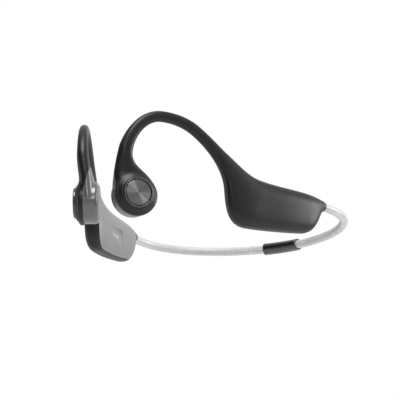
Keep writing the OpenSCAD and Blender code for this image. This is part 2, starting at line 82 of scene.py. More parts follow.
DUCT_HALF, DUCT_THIN = 1.15, 0.65
SPOUT_Z, BAND_IN, BAND_SAG, PLUG_LEN = 0.3, 6.0, 2.8, 2.4
ANCHOR_REAR_S = 13.2

# --- the curved sheet that a unit is laid out on ------------------------------------------


def chord(length, a, b):
    h = math.radians(b - a) / 2
    return length if abs(h) < 1e-5 else length * math.sin(h) / h


def ahead(a):
    return np.array([-math.sin(math.radians(a)), -math.cos(math.radians(a))])


def outward(a):
    return np.array([math.cos(math.radians(a)), -math.sin(math.radians(a))])


def toe(s):
    if s < POD_LEN:
        return TOE_EXIT + (TOE_POD - TOE_EXIT) * s / POD_LEN
    if s < POD_LEN + KNEE_LEN:
        return TOE_POD + (TOE_FRONT - TOE_POD) * (s - POD_LEN) / KNEE_LEN
    return TOE_FRONT


def arc_end(p, a, b, length):
    return p + chord(length, a, b) * ahead((a + b) / 2)


EXIT_XY = np.array([EXIT_SPAN / 2, EXIT_Y])
POD_END = arc_end(EXIT_XY, TOE_EXIT, TOE_POD, POD_LEN)
KNEE_END = arc_end(POD_END, TOE_POD, TOE_FRONT, KNEE_LEN)


def plan(s):
    if s < POD_LEN:
        return arc_end(EXIT_XY, TOE_EXIT, toe(s), s)
    if s < POD_LEN + KNEE_LEN:
        return arc_end(POD_END, TOE_POD, toe(s), s - POD_LEN)
    return KNEE_END + (s - POD_LEN - KNEE_LEN) * ahead(TOE_FRONT)


def spot(s, z, n):
    p = plan(s) + n * outward(toe(s))
    return np.array([p[0], p[1], z + EXIT_HEIGHT])


def on_sheet(s, z, n):
    """Frame at a point of the left unit's sheet: X outward, Y rearward, Z up."""
    out, fwd = outward(toe(s)), ahead(toe(s))
    m = Matrix.Identity(4)
    m.col[0] = (out[0], out[1], 0, 0)
    m.col[1] = (-fwd[0], -fwd[1], 0, 0)
    m.col[3] = (*spot(s, z, n), 1)
    return m


HEAD_TURN = Matrix.Rotation(math.pi / 2, 4, "Y")
HEAD_FRAME = on_sheet(HEAD_REACH, -HEAD_DROP, 0) @ HEAD_TURN

# --- rails of the casing ------------------------------------------------------------------

HALF_T = POD_THICK / 2
FRONT_S, FRONT_Z = POD_LEN + 9.3, -POD_DROP
ROOT = (POD_LEN + 8, 14.8)
RISER = (CROWN_REACH - 16.5, CROWN_RISE - 4.9)
BROW = (HEAD_REACH + 7, CROWN_RISE - 15.4)
CROWN_LOW = CROWN_RISE - HOOK_H
THROAT = (HEAD_REACH + 1.6, CROWN_RISE - 19)
NOSE, NAPE = HEAD_REACH + HEAD_R, HEAD_REACH - HEAD_R
ROD_T, ROD_N = HOOK_T / 2, 0.75


def shifted(p, ds, dz, third):
    return (p[0] + ds, p[1] + dz, third)


UPPER = [
    [(1, 2.5, 2.35), (4, 3.3, 3.0), (7, 3.9, HALF_T - 0.7), (10.5, 4.2, HALF_T - 0.3)],
    [(10.5, 4.2, HALF_T - 0.3), (20, 5.1, HALF_T + 0.15), (0.66 * POD_LEN, 4.8, HALF_T),
     (0.86 * POD_LEN, 6.4, HALF_T)],
    [(0.86 * POD_LEN, 6.4, HALF_T), (POD_LEN - 0.2, 7.7, HALF_T - 0.2),
     shifted(ROOT, -4.4, -3.4, HALF_T - 1.1), shifted(ROOT, 0, 0, HALF_T - 1.8)],
    [shifted(ROOT, 0, 0, HALF_T - 1.8), shifted(ROOT, 4.4, 3.4, HALF_T - 2.2),
     shifted(RISER, -4.8, -3.6, ROD_T + 0.3), shifted(RISER, 0, 0, ROD_T + 0.1)],
    [shifted(RISER, 0, 0, ROD_T + 0.1), shifted(RISER, 4.4, 3.2, ROD_T),
     (CROWN_REACH - 5.8, CROWN_RISE, ROD_T), (CROWN_REACH, CROWN_RISE, ROD_T)],
    [(CROWN_REACH, CROWN_RISE, ROD_T), (CROWN_REACH + 7.4, CROWN_RISE, ROD_T),
     shifted(BROW, -3.4, 9.2, ROD_T + 0.2), shifted(BROW, 0, 0, ROD_T + 0.6)],
    [shifted(BROW, 0, 0, ROD_T + 0.6), shifted(BROW, 1.3, -5.8, ROD_T + 0.9),
     (NOSE, 4, 3.2), (NOSE, -HEAD_DROP, 3.4)],
]
LOWER = [
    [(1, -1.9, 0), (5, -3, 0), (4.8, -12, 0), (13, FRONT_Z + 1.8, 0)],
    [(13, FRONT_Z + 1.8, 0), (22, FRONT_Z + 0.8, 0), (0.76 * POD_LEN, FRONT_Z, 0),
     (POD_LEN - 1, FRONT_Z, 0)],
    [(POD_LEN - 1, FRONT_Z, 0), (POD_LEN + 7.2, FRONT_Z, 0), (FRONT_S - 0.5, -9, 0.1),
     (FRONT_S, -0.5, 0.4)],
    [(FRONT_S, -0.5, 0.4), (FRONT_S + 0.6, 8.3, 0.7), shifted(RISER, -5, -9.7, ROD_N),
     shifted(RISER, 2.5, -4.1, ROD_N)],
    [shifted(RISER, 2.5, -4.1, ROD_N), shifted(RISER, 6.5, -1.2, ROD_N),
     (CROWN_REACH - 5, CROWN_LOW, ROD_N), (CROWN_REACH, CROWN_LOW, ROD_N)],
    [(CROWN_REACH, CROWN_LOW, ROD_N), (CROWN_REACH + 6, CROWN_LOW, ROD_N),
     shifted(THROAT, -0.5, 7.5, 0.6), shifted(THROAT, 0, 0, 0.1)],
    [shifted(THROAT, 0, 0, 0.1), shifted(THROAT, 0, -7.5, -0.5),
     (NAPE, THROAT[1] - 5, -1.7), (NAPE, -HEAD_DROP, -2.5)],
]
RAILS_END = 7.0


def bezier(p, u):
    p = np.asarray(p, float)
    return ((1 - u) ** 3 * p[0] + 3 * (1 - u) ** 2 * u * p[1]
            + 3 * (1 - u) * u * u * p[2] + u ** 3 * p[3])


def along(rail, t):
    i = min(int(t), len(rail) - 1)
    return bezier(rail[i], t - i)


def spow(v, e):
    return math.copysign(abs(v) ** e, v)


def squareness(t):
    if t < 1:
        return 2.1 + 0.6 * t
    if t < 2:
        return 2.7
    return 2.7 - 0.2 * (t - 2) if t < 4 else 2.3


def skin_ring(t, inset, steps, back=0.0):
    """Ring of points round the casing at station t; back moves it rearward along the sheet."""
    up, low = along(UPPER, t), along(LOWER, t)
    half = (up[:2] - low[:2]) / 2
    mid = (up[:2] + low[:2]) / 2
    e = 2 / squareness(t)
    k = 1 - inset / np.linalg.norm(half)
    ring = []
    for j in range(steps):
        a = 2 * math.pi * (j + 0.5) / steps
        c = k * spow(math.cos(a), e)
        ring.append(spot(mid[0] + c * half[0] - back, mid[1] + c * half[1],
                         low[2] + (up[2] - inset) * spow(math.sin(a), e)))
    return ring


# --- mesh code ----------------------------------------------------------------------------


def loft(rings):
    """Closed tube through rings of equal length, with a fan at either end."""
    m, n = len(rings[0]), len(rings)
    verts = [tuple(p) for r in rings for p in r]
    verts += [tuple(np.mean(rings[0], axis=0)), tuple(np.mean(rings[-1], axis=0))]
    faces = []
    for i in range(n - 1):
        for j in range(m):
            a, b = i * m + j, i * m + (j + 1) % m
            faces.append((a, b, b + m, a + m))
    for j in range(m):
        faces.append((n * m, (j + 1) % m, j))
        faces.append(((n - 1) * m + j, (n - 1) * m + (j + 1) % m, n * m + 1))
    return verts, faces


def rounded(profile, reach):
    """Profile with every corner rounded; reach is how far along each side the rounding starts."""
    out, n = [], len(profile)
    for i in range(n):
        p = np.array(profile[i], float)
        q, r = np.array(profile[i - 1], float), np.array(profile[(i + 1) % n], float)
        if p[0] < 1e-6:
            out.append(tuple(p))
            continue
        dq, dr = np.linalg.norm(q - p), np.linalg.norm(r - p)
        a = p + (q - p) * min(reach, 0.42 * dq) / dq
        b = p + (r - p) * min(reach, 0.42 * dr) / dr
        for u in (0, 0.25, 0.5, 0.75, 1):
            out.append(tuple((1 - u) ** 2 * a + 2 * u * (1 - u) * p + u * u * b))
    return out


def turned(profile, steps=144):
    """Solid of revolution about Z from a closed half profile of (radius, height) points."""
    verts, rows = [], []
    for r, z in profile:
        if r < 1e-6:
            rows.append([len(verts)] * steps)
            verts.append((0, 0, z))
            continue
        rows.append(list(range(len(verts), len(verts) + steps)))
        for j in range(steps):
            a = 2 * math.pi * j / steps
            verts.append((r * math.cos(a), r * math.sin(a), z))
    faces = []
    for i in range(len(rows)):
        one, two = rows[i], rows[(i + 1) % len(rows)]
        if one[0] == one[1] and two[0] == two[1]:
            continue
        for j in range(steps):
            k = (j + 1) % steps
            face = [one[j], one[k], two[k], two[j]]
            face = [v for i2, v in enumerate(face) if v not in face[:i2]]
            faces.append(tuple(face))
    return verts, faces


def block(size, middle):
    """Closed box as mesh data, for cutters."""
    hx, hy, hz = (s / 2 for s in size)
    verts = [(middle[0] + x * hx, middle[1] + y * hy, middle[2] + z * hz)
             for x in (-1, 1) for y in (-1, 1) for z in (-1, 1)]
    faces = [(0, 1, 3, 2), (4, 6, 7, 5), (0, 4, 5, 1), (2, 3, 7, 6), (0, 2, 6, 4), (1, 5, 7, 3)]
    return verts, faces


def moved(data, matrix):
    return [tuple(matrix @ Vector(v)) for v in data[0]], data[1]


def joined(*parts):
    verts, faces = [], []
    for v, f in parts:
        faces += [tuple(i + len(verts) for i in face) for face in f]
        verts += v
    return verts, faces


def fresh(name, data):
    """Mesh object from vertices and faces, with faces turned outward."""
    mesh = bpy.data.meshes.new(name)
    mesh.from_pydata(data[0], [], data[1])
    mesh.update()
    obj = bpy.data.objects.new(name, mesh)
    bpy.context.scene.collection.objects.link(obj)
    face_outward(mesh)
    return obj


def face_outward(mesh):
    bm = bmesh.new()
    bm.from_mesh(mesh)
    bmesh.ops.recalc_face_normals(bm, faces=bm.faces)
    bm.to_mesh(mesh)
    bm.free()


def applied(obj):
    """The object with its modifiers made part of its mesh."""
    graph = bpy.context.evaluated_depsgraph_get()
    mesh = bpy.data.meshes.new_from_object(obj.evaluated_get(graph))
    obj.modifiers.clear()
    obj.data = mesh
    return obj


def cut(obj, data, operation="DIFFERENCE"):
    """Boolean of obj with a closed mesh."""
    tool = fresh("cutter", data)
    step = obj.modifiers.new("cut", "BOOLEAN")
    step.operation = operation
    step.solver = "MANIFOLD"
    step.object = tool
    applied(obj)
    bpy.data.objects.remove(tool)
    return obj


def copied(obj, name):
    twin = obj.copy()
    twin.data = obj.data.copy()
    twin.name = name
    bpy.context.scene.collection.objects.link(twin)
    return twin


def mirrored(obj, name):
    twin = copied(obj, name)
    twin.data.transform(Matrix.Diagonal((-1, 1, 1, 1)))
    twin.data.flip_normals()
    return twin


def mesh_arrays(mesh):
    co = np.empty(len(mesh.vertices) * 3)
    mesh.vertices.foreach_get("co", co)
    ends = np.empty(len(mesh.edges) * 2, int)
    mesh.edges.foreach_get("vertices", ends)
    return co.reshape(-1, 3), ends.reshape(-1, 2)


def pull(co, ends):
    """Vector from each vertex to the mean of its neighbours."""
    total, count = np.zeros_like(co), np.bincount(ends.ravel(), minlength=len(co))
    for axis in range(3):
        total[:, axis] = (
            np.bincount(ends[:, 0], co[ends[:, 1], axis], len(co))
            + np.bincount(ends[:, 1], co[ends[:, 0], axis], len(co))
        )
    return total / np.maximum(count, 1)[:, None] - co


def vertex_normals(mesh):
    n = np.empty(len(mesh.vertices) * 3)
    mesh.vertices.foreach_get("normal", n)
    return n.reshape(-1, 3)


def put_back(mesh, co):
    mesh.vertices.foreach_set("co", co.ravel())
    mesh.update()


def soften(mesh, rounds):
    for _ in range(rounds):
        co, ends = mesh_arrays(mesh)
        put_back(mesh, co + 0.5 * pull(co, ends))


def fill_creases(mesh, rounds):
    """Rounds inward corners only, as a mould's fillet does, and leaves outward ones crisp."""
    for _ in range(rounds):
        co, ends = mesh_arrays(mesh)
        normals = vertex_normals(mesh)
        lift = np.einsum("ij,ij->i", pull(co, ends), normals)
        lift = np.clip(lift - 0.004, 0, None)
        put_back(mesh, co + 0.6 * lift[:, None] * normals)


def add_wear(mesh, full):
    """Vertex attribute that says how sharply the surface turns outward, for worn edges."""
    co, ends = mesh_arrays(mesh)
    length = np.linalg.norm(co[ends[:, 0]] - co[ends[:, 1]], axis=1).mean()
    turn = -np.einsum("ij,ij->i", pull(co, ends), vertex_normals(mesh)) / length
    wear = np.clip(turn / full, 0, 1)
    layer = mesh.attributes.new("wear", "FLOAT", "POINT")
    layer.data.foreach_set("value", wear.astype(np.float32))


def smooth_shaded(obj, angle=30):
    obj.data.shade_smooth()
    obj.data.set_sharp_from_angle(angle=math.radians(angle))
    return obj


# --- materials ----------------------------------------------------------------------------


class Finish:
    """Node material round one Principled shader."""

    def __init__(self, name, **values):
        self.mat = bpy.data.materials.new(name)
        self.mat.use_nodes = True
        self.tree = self.mat.node_tree
        self.shader = self.tree.nodes["Principled BSDF"]
        for socket, value in values.items():
            self.shader.inputs[socket.replace("_", " ")].default_value = value
        self.place = self.node("ShaderNodeTexCoord").outputs["Object"]

    def node(self, kind, **props):
        node = self.tree.nodes.new(kind)
        for key, value in props.items():
            setattr(node, key, value)
        return node

    def link(self, a, b):
        self.tree.links.new(a, b)

    def noise(self, size_mm, detail=2.0, rough=0.5):
        """Noise whose features are about size_mm across."""
        node = self.node("ShaderNodeTexNoise")
        node.inputs["Scale"].default_value = 1 / (size_mm * MM)
        node.inputs["Detail"].default_value = detail
        node.inputs["Roughness"].default_value = rough
        self.link(self.place, node.inputs["Vector"])
        return node.outputs["Fac"]

    def span(self, value, low, high, start=0.0, end=1.0):
        node = self.node("ShaderNodeMapRange")
        for key, number in zip(("From Min", "From Max", "To Min", "To Max"),
                               (start, end, low, high)):
            node.inputs[key].default_value = number
        self.link(value, node.inputs["Value"])
        return node.outputs["Result"]

    def maths(self, how, a, b):
        node = self.node("ShaderNodeMath", operation=how)
        for socket, value in zip(node.inputs, (a, b)):
            if isinstance(value, (int, float)):
                socket.default_value = value
            else:
                self.link(value, socket)
        return node.outputs[0]

    def mix(self, factor, a, b):
        node = self.node("ShaderNodeMix", data_type="RGBA")
        self.link(factor, node.inputs["Factor"])
        for socket, value in ((node.inputs[6], a), (node.inputs[7], b)):
            if isinstance(value, tuple):
                socket.default_value = (*value, 1)
            else:
                self.link(value, socket)
        return node.outputs[2]

    def bump(self, height, distance_mm, strength=1.0, under=None):
        node = self.node("ShaderNodeBump")
        node.inputs["Distance"].default_value = distance_mm * MM
        node.inputs["Strength"].default_value = strength
        self.link(height, node.inputs["Height"])
        if under is not None:
            self.link(under, node.inputs["Normal"])
        return node.outputs["Normal"]

    def attribute(self, name):
        return self.node("ShaderNodeAttribute", attribute_name=name).outputs["Fac"]

    def paint(self, socket, output):
        self.link(output, self.shader.inputs[socket])


def grey(v, warm=0.0):
    return (v * (1 + warm), v, v * (1 - warm))


def moulded(name, base, rough, grain_mm=0.18, grain_depth=0.012, wear=0.5, tint=0.0,
            spread=0.12, **values):
    """Moulded plastic or rubber: fine grain, cloudy gloss, slight colour drift, worn edges."""
    f = Finish(name, **values)
    cloud = f.noise(9, 3)
    fine = f.noise(grain_mm, 2)
    specks = f.span(f.noise(0.5, 1), 0, 1, 0.66, 0.74)
    drift = f.mix(f.span(cloud, 0, 1, 0.3, 0.7), grey(base * (1 - spread), tint),
                  grey(base * (1 + spread), tint))
    dusty = f.mix(f.maths("MULTIPLY", specks, 0.10), drift, grey(min(1, base * 2.2), tint))
    rub = f.maths("MULTIPLY", f.attribute("wear"), f.span(f.noise(1.1, 3), 0.1, 1, 0.35, 0.65))
    rubbed = f.maths("MULTIPLY", rub, wear)
    f.paint("Base Color", f.mix(rubbed, dusty, grey(min(1, base * 1.9 + 0.02), tint)))
    cloudy = f.span(cloud, rough - 0.05, rough + 0.05, 0.3, 0.7)
    f.paint("Roughness", f.maths("SUBTRACT", cloudy, f.maths("MULTIPLY", rubbed, 0.12)))
    wave = f.bump(f.noise(4.5, 1), 0.03, 0.4)
    f.paint("Normal", f.bump(fine, grain_depth, 0.6, wave))
    return f.mat


def metal(name, base, rough, scratch_mm=0.12, depth=0.006, tint=0.0, **values):
    """Bare or plated metal with fine random scratches and dull patches."""
    f = Finish(name, Metallic=1.0, **values)
    cloud = f.noise(3, 4)
    f.paint("Base Color", f.mix(f.span(cloud, 0, 1, 0.3, 0.7), grey(base * 0.86, tint),
                                grey(base, tint)))
    f.paint("Roughness", f.span(f.noise(0.6, 4), rough - 0.07, rough + 0.09, 0.3, 0.7))
    f.paint("Normal", f.bump(f.noise(scratch_mm, 3), depth, 0.5))
    return f.mat


def spun_metal():
    """Disc turned on a lathe: circular grooves about the piece's own axis, stretched gloss."""
    f = Finish("cap_metal", Metallic=1.0, Anisotropic=0.92, Anisotropic_Rotation=0.25)
    tangent = f.node("ShaderNodeTangent", direction_type="RADIAL", axis="Z")
    f.link(tangent.outputs["Tangent"], f.shader.inputs["Tangent"])
    split = f.node("ShaderNodeSeparateXYZ")
    f.link(f.place, split.inputs[0])
    square = [f.maths("MULTIPLY", split.outputs[k], split.outputs[k]) for k in ("X", "Y")]
    radius = f.maths("SQRT", f.maths("ADD", *square), 0)
    groove = f.node("ShaderNodeTexNoise", noise_dimensions="1D")
    groove.inputs["Scale"].default_value = 1 / (0.09 * MM)
    groove.inputs["Detail"].default_value = 3
    f.link(radius, groove.inputs["W"])
    rings = groove.outputs["Fac"]
    f.paint("Base Color", f.mix(f.span(rings, 0, 1, 0.35, 0.65), grey(0.12), grey(0.20)))
    f.paint("Roughness", f.maths("ADD", f.span(rings, 0.42, 0.50, 0.3, 0.7),
                                 f.span(f.noise(2.5, 3), -0.02, 0.03, 0.3, 0.7)))
    f.paint("Normal", f.bump(rings, 0.006, 0.5))
    return f.mat


def band_silicone():
    """Milky silicone tube: the two cores inside show as faint darker lines."""
    f = Finish("band_silicone", Subsurface_Weight=0.35, Subsurface_Scale=0.0015,
               Coat_Weight=0.12, Coat_Roughness=0.25)
    f.shader.inputs["Subsurface Radius"].default_value = (1.0, 0.95, 0.9)
    core = f.attribute("core")
    cloud = f.noise(5, 3)
    milk = f.mix(f.span(cloud, 0, 1, 0.3, 0.7), grey(0.40, 0.004), grey(0.46, 0.006))
    faint = f.maths("MULTIPLY", core, f.span(f.noise(1.4, 2), 0.40, 0.62, 0.3, 0.7))
    f.paint("Base Color", f.mix(faint, milk, grey(0.31)))
    f.paint("Roughness", f.span(f.noise(1.6, 3), 0.34, 0.46, 0.3, 0.7))
    f.paint("Normal", f.bump(f.noise(0.14, 2), 0.008, 0.5, f.bump(f.noise(2.2, 1), 0.03, 0.35)))
    return f.mat


def circuit_board():
    """Green solder mask over copper lines."""
    f = Finish("circuit_board", Coat_Weight=0.4, Coat_Roughness=0.2)
    cell = f.node("ShaderNodeTexVoronoi", feature="DISTANCE_TO_EDGE")
    cell.inputs["Scale"].default_value = 1 / (0.9 * MM)
    f.link(f.place, cell.inputs["Vector"])
    line = f.span(cell.outputs["Distance"], 1, 0, 0.04, 0.08)
    f.paint("Base Color", f.mix(line, (0.01, 0.10, 0.035), (0.03, 0.2, 0.07)))
    f.paint("Roughness", f.span(f.noise(0.8, 2), 0.3, 0.45, 0.3, 0.7))
    f.paint("Normal", f.bump(line, 0.03, 0.6))
    return f.mat


def wrap(name, colour, rough):
    """Plastic film or jacket in one hue, slightly creased."""
    f = Finish(name)
    dark = tuple(c * 0.75 for c in colour)
    f.paint("Base Color", f.mix(f.span(f.noise(2, 3), 0, 1, 0.3, 0.7), dark, colour))
    f.paint("Roughness", f.span(f.noise(0.7, 3), rough - 0.06, rough + 0.08, 0.3, 0.7))
    f.paint("Normal", f.bump(f.noise(0.4, 3), 0.03, 0.5))
    return f.mat


MATERIALS = {
    "shell": moulded("shell", 0.007, 0.36, Sheen_Weight=0.02, Sheen_Roughness=0.45,
                     Specular_IOR_Level=0.26),
    # cover: the pale grey base is painted reflected light; it stands in for the light that the
    # casing's dark plastic catches at glancing angles on the pod's inner face
    "cover": moulded("cover", 0.165, 0.44, wear=0.35, spread=0.05),
    "drum": moulded("drum", 0.07, 0.24, grain_mm=0.25, grain_depth=0.006, wear=0.3,
                    Coat_Weight=0.35, Coat_Roughness=0.18),
    "skin_silicone": moulded("skin_silicone", 0.20, 0.50, grain_mm=0.22, wear=0.2,
                             Subsurface_Weight=0.08, Subsurface_Scale=0.0006),
    "bezel": moulded("bezel", 0.018, 0.22, grain_mm=0.2, grain_depth=0.004, wear=0.6,
                     Coat_Weight=0.4, Coat_Roughness=0.12),
    "cap_metal": spun_metal(),
    "circuit_board": circuit_board(),
    "steel": metal("steel", 0.42, 0.34),
    "magnet_plating": metal("magnet_plating", 0.62, 0.18, tint=0.02),
    "copper": metal("copper", 0.55, 0.3, tint=0.35),
    "spring_steel": metal("spring_steel", 0.6, 0.22),
    "titanium": metal("titanium", 0.48, 0.32, tint=0.03),
    "cable_jacket": wrap("cable_jacket", (0.30, 0.03, 0.025), 0.4),
    "band_silicone": band_silicone(),
    "plug_plastic": moulded("plug_plastic", 0.09, 0.45),
    "anchor_metal": metal("anchor_metal", 0.45, 0.36),
    "microphone_can": metal("microphone_can", 0.62, 0.25, tint=0.16),
    "battery_wrap": wrap("battery_wrap", (0.03, 0.08, 0.25), 0.3),
    "contact_metal": metal("contact_metal", 0.88, 0.2, tint=0.01),
    "sleeve": moulded("sleeve", 0.008, 0.13, grain_mm=0.3, grain_depth=0.003, wear=0.3,
                      Coat_Weight=0.6, Coat_Roughness=0.06),
}


def dressed(obj, slot):
    obj.data.materials.clear()
    obj.data.materials.append(MATERIALS[slot])
    return obj


def placed(obj, slot, body, nodes, wear=0.5, angle=30):
    """Finishes a piece that is in millimetres in the part's frame, and gives it to its body."""
    add_wear(obj.data, wear)
    smooth_shaded(obj, angle)
    obj.data.transform(Matrix.Scale(MM, 4))
    dressed(obj, slot)
    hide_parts(*nodes)
    if body:
        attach(obj, body)
    return obj


# --- casing -------------------------------------------------------------------------------

VOXEL = 0.3
SPOUT_ROUND = 0.7
GROOVE = 0.09


def dome_profile():
    rim = 0.7
    arc = [(HEAD_R - rim + rim * math.cos(math.radians(a)),
            SHELL_RIM - rim + rim * math.sin(math.radians(a))) for a in range(15, 76, 15)]
    return [(0, SPLIT_N - 0.3), (HEAD_R - 0.1, SPLIT_N - 0.3), (HEAD_R, SPLIT_N - 0.15),
            (HEAD_R, SHELL_RIM - rim), *arc, (HEAD_R - rim - 0.3, SHELL_RIM + 0.12),
            (BEZEL_R + 0.35, BEZEL_FACE - 0.9), (0, BEZEL_FACE - 0.9)]


def spout_rings():
    """Rounded rear end of the spout."""
    rings = []
    for a in range(0, 90, 15):
        rad = math.radians(a)
        rings.append(skin_ring(0, SPOUT_ROUND * (1 - math.sin(rad)), 64,
                               SPOUT_ROUND * (math.cos(rad) - 1) + SPOUT_ROUND))
    return rings


def casing_skin():
    """Whole outer skin of a unit in one flowing piece, before it is parted into its mouldings."""
    rings = spout_rings()
    rings += [skin_ring(t, 0, 64) for t in np.linspace(0, RAILS_END, 176)]
    dome = moved(turned(dome_profile(), 128), HEAD_FRAME)
    skin = fresh("skin", joined(loft(rings), dome))
    remesh = skin.modifiers.new("voxels", "REMESH")
    remesh.mode = "VOXEL"
    remesh.voxel_size = VOXEL
    applied(skin)
    soften(skin.data, 3)
    fill_creases(skin.data, 70)
    ease_brim(skin.data, 60)
    soften(skin.data, 2)
    return skin


def ease_brim(mesh, rounds):
    """Lets the hook run into the head's brim without a ridge."""
    co, ends = mesh_arrays(mesh)
    back = HEAD_FRAME.inverted()
    local = np.array([back @ Vector(p) for p in co])
    radius = np.hypot(local[:, 0], local[:, 1])
    high = np.clip((-local[:, 0] - 1.5) / 4, 0, 1)
    near = np.clip((radius - 6.7) / 1.2, 0, 1) * np.clip((15 - radius) / 4, 0, 1)
    share = (high * near * (local[:, 2] > -1.5))[:, None]
    for _ in range(rounds):
        co = co + 0.6 * share * pull(co, ends)
    put_back(mesh, co)


def sheet_slab(near, far, start, end):
    """Curved slab between two distances from the sheet, standing from below the pod to above it."""
    rings = []
    for s in np.linspace(start, end, 60):
        rings.append([spot(s, -40, near), spot(s, 40, near), spot(s, 40, far), spot(s, -40, far)])
    return loft(rings)


def pocket(a, b, inset):
    return loft([skin_ring(t, inset, 40) for t in np.linspace(a, b, 40)])


NECK_FOOT, NECK_TIP, NECK_SLOPE = 3.8, 15.0, 0.29


def skin_side(edge_n, floor_z):
    """Everything on the skin side of the head's parting, which slopes inward up the hook's root."""
    half = 1.5 * HEAD_R
    profile = [(-20, floor_z), (edge_n, floor_z), (edge_n, NECK_FOOT),
               (edge_n - NECK_SLOPE * (NECK_TIP - NECK_FOOT), NECK_TIP), (-20, NECK_TIP)]
    at = on_sheet(HEAD_REACH, -HEAD_DROP, 0)
    ends = [[at @ Vector((n, y, z)) for n, z in profile] for y in (-half, half)]
    return loft([[tuple(p) for p in ring] for ring in ends])


def drill(frame_at, radius, low, high, steps=96):
    return moved(turned([(0, low), (radius, low), (radius, high), (0, high)], steps), frame_at)


def spout_hole():
    frame_at = on_sheet(0, SPOUT_Z, 0) @ Matrix.Rotation(math.pi / 2, 4, "X")
    return drill(frame_at, BAND_D / 2 + FIT_GAP, -5, BAND_IN + 3, 64)


def plug_seat():
    half = PLUG_LEN / 2 + FIT_GAP
    frame_at = on_sheet(BAND_IN + half, SPOUT_Z, 0) @ Matrix.Rotation(math.pi / 2, 4, "X")
    return drill(frame_at, BAND_D / 2 + 0.65 + FIT_GAP, -half, half, 64)


def dock_cutter():
    deep, long, high = 0.9, 15.5, 14
    turn = Matrix.Rotation(math.radians(-3.9), 4, "Z") @ Matrix.Rotation(math.radians(4.5), 4, "Y")
    at = on_sheet(23.5, -1.7, -HALF_T) @ turn
    box = block((5 + deep, long, high), ((deep - 5) / 2, -long / 2, -high / 2))
    tool = fresh("dock", moved(box, at))
    bevel = tool.modifiers.new("corner", "BEVEL")
    bevel.width = 1.1
    bevel.segments = 5
    applied(tool)
    data = ([tuple(v.co) for v in tool.data.vertices],
            [tuple(p.vertices) for p in tool.data.polygons])
    bpy.data.objects.remove(tool)
    return data


PIN_S, PIN_Z, DOCK_PITCH = 29.5, -6.0, 2.2
DOCK_PINS, PIN_SINK = 4, 0.82


def pin_frame(i, n):
    return on_sheet(PIN_S + DOCK_PITCH * i, PIN_Z + 0.2 * i, n) @ HEAD_TURN


def casings():
    skin = casing_skin()
    cover = copied(skin, "cover")
    neck = copied(skin, "neck")
    shell = skin
    cut(shell, skin_side(SPLIT_N - 0.03, -2 * HEAD_R))
    cut(neck, skin_side(SPLIT_N - FIT_GAP - 0.03, 0.5), "INTERSECT")
    cut(neck, drill(HEAD_FRAME, DRUM_R - 0.4, -20, 2))
    cut(shell, sheet_slab(-PARTING_IN + GROOVE, -30, 3.9, POD_LEN + 16))
    cut(shell, pocket(0.62, 3.0, WALL))
    cut(shell, drill(HEAD_FRAME, DRUM_R + FIT_GAP, -20, SPLIT_N + 0.05))
    cut(shell, drill(HEAD_FRAME, CAVITY_R, -2, 1.1))
    cut(shell, drill(HEAD_FRAME, BEZEL_R + FIT_GAP, -3, 9))
    cut(shell, spout_hole())
    cut(shell, plug_seat())
    cut(cover, sheet_slab(-PARTING_IN - GROOVE, -30, 4.05, POD_LEN + 15.8), "INTERSECT")
    cut(cover, pocket(0.8, 2.5, WALL + 0.4))
    docked = copied(cover, "docked")
    cut(docked, dock_cutter())
    for i in range(DOCK_PINS):
        cut(docked, drill(pin_frame(i, -HALF_T), 0.5, -1.5, 2.5, 32))
    return {
        "neck": neck, "left_shell": shell, "right_shell": mirrored(shell, "right_shell"),
        "left_cover": cover, "right_cover": mirrored(docked, "right_cover"), "spare": docked,
    }


def make_casings():
    made = casings()
    bpy.data.objects.remove(made.pop("spare"))
    make_drums(made.pop("neck"))
    for side in SIDES:
        shell, cover = made[side + "_shell"], made[side + "_cover"]
        shell.name, cover.name = side + "_casing", side + "_casing_cover"
        placed(shell, "shell", side + "_unit", [side + "_outer_shell"], 0.35)
        # the covers take the cover finish, whose pale grey is painted reflected light on dark
        # plastic
        placed(cover, "cover", side + "_unit", [side + "_pod_cover"], 0.35)


# --- head pieces --------------------------------------------------------------------------


def head_matrix(side):
    """Frame of a head in metres, with Z outward along the head's axis."""
    m = HEAD_FRAME.copy()
    if side == "right":
        m = Matrix.Diagonal((-1, 1, 1, 1)) @ m @ Matrix.Diagonal((-1, 1, 1, 1))
    m.translation *= MM
    return m


def head_piece(side, name, slot, body, node, profile, rounding=0.08, wear=0.5):
    """Turned piece of the head. Its own Z is the head's axis, which its finish follows."""
    obj = fresh(side + "_" + name, turned(rounded(profile, rounding)))
    add_wear(obj.data, wear)
    smooth_shaded(obj, 35)
    obj.data.transform(Matrix.Scale(MM, 4))
    obj.matrix_world = head_matrix(side)
    dressed(obj, slot)
    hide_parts(side + "_" + node)
    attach(obj, side + "_" + body)
    return obj


DRUM_PROFILE = [
    (CAVITY_R - 0.9, SPLIT_N + 0.9), (CAVITY_R - FIT_GAP, SPLIT_N + 0.9),
    (CAVITY_R - FIT_GAP, SPLIT_N - FIT_GAP), (DRUM_R, SPLIT_N - FIT_GAP),
    (DRUM_R, PAD_FACE + 1.3), (DRUM_R - 0.25, PAD_FACE + 0.85), (DRUM_R - 0.75, PAD_FACE + 0.55),
    (DRUM_R - 1.2, PAD_FACE + 0.5), (DRUM_R - 1.2, PAD_FACE + 0.8), (0, PAD_FACE + 0.8),
    (0, PAD_FACE + 1.4), (DRUM_R - 0.9, PAD_FACE + 1.4), (DRUM_R - 0.9, SPLIT_N - 0.8),
    (CAVITY_R - 0.9, SPLIT_N - 0.8),
]
PAD_PROFILE = [
    (0, PAD_FACE + 0.75), (DRUM_R - 1.3, PAD_FACE + 0.75), (DRUM_R - 1.3, PAD_FACE + 0.32),
    (DRUM_R - 1.55, PAD_FACE + 0.1), (DRUM_R - 2.4, PAD_FACE), (DRUM_R - 2.7, PAD_FACE + 0.12),
    (DRUM_R - 3.0, PAD_FACE + 0.02), (0, PAD_FACE),
]
